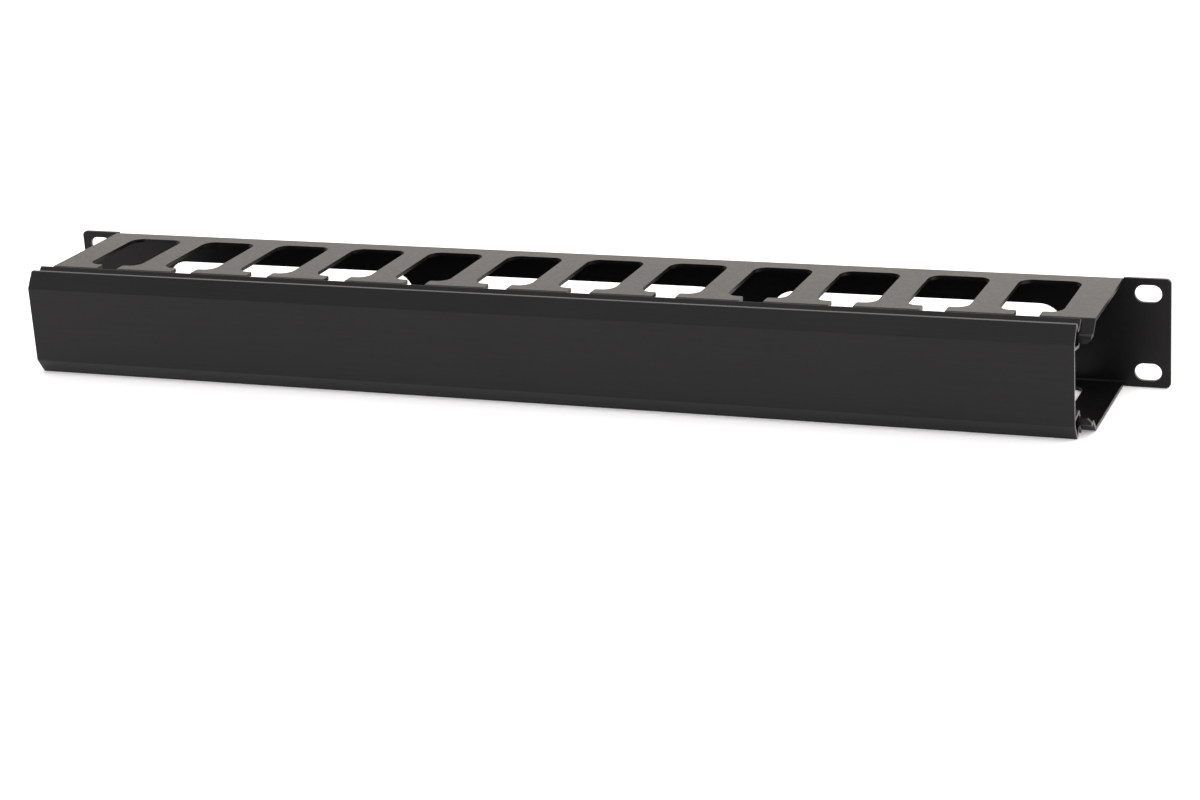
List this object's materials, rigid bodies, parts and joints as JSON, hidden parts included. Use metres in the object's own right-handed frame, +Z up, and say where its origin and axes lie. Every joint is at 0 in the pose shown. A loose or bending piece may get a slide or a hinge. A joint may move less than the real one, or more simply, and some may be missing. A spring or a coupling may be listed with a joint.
{
  "type": "horizontal cable manager",
  "caption": "One-unit rack cable duct: a folded metal channel with finger slots, cable windows in its back plate and slotted ears, closed by a long extruded front cover.",
  "frame": {"origin": "middle of the back plate's rear face, the face that meets the rack rails", "axes": "+X to the right seen from the front, along the rack's width; +Y back into the rack, so the duct reaches forward along -Y; +Z up"},
  "size_m": [0.4826, 0.069, 0.0446],
  "materials": {
    "duct_body": "fine-textured black powder coat on folded sheet steel",
    "front_cover": "satin black anodised extrusion with faint lengthwise lines"
  },
  "bodies": {
    "duct": {"duct_body": "duct_body"},
    "cover": {"front_cover": "front_cover"}
  },
  "joints": [
    {"name": "cover_slide", "type": "slide", "parent": "duct", "child": "cover", "axis": [1, 0, 0], "range_m": [-0.441, 0.451]}
  ]
}
